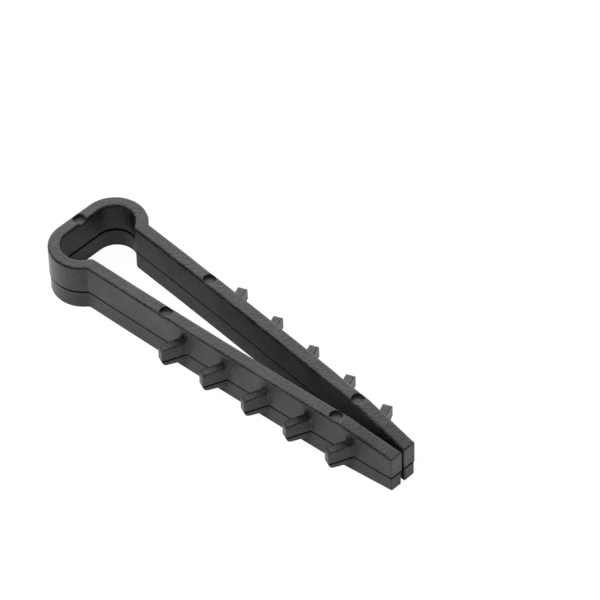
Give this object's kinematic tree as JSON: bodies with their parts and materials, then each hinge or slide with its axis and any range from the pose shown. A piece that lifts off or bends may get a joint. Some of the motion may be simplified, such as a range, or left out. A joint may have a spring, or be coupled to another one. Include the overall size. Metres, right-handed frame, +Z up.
{
  "type": "dowel cable tie",
  "caption": "Push-in cable tie in black plastic: a flat loop holds the cable, and barbed legs that squeeze together grip a drilled hole.",
  "frame": {"origin": "middle of the underside of the bounding box, with the tie lying flat on its side", "axes": "+X from the cable loop to the tip that enters the hole, +Y across the legs, +Z up through the height of the strip"},
  "size_m": [0.05, 0.0132, 0.0063],
  "materials": {
    "black_plastic": "satin black injection moulding"
  },
  "bodies": {
    "root": {"dowel_tie": "black_plastic"}
  },
  "joints": []
}
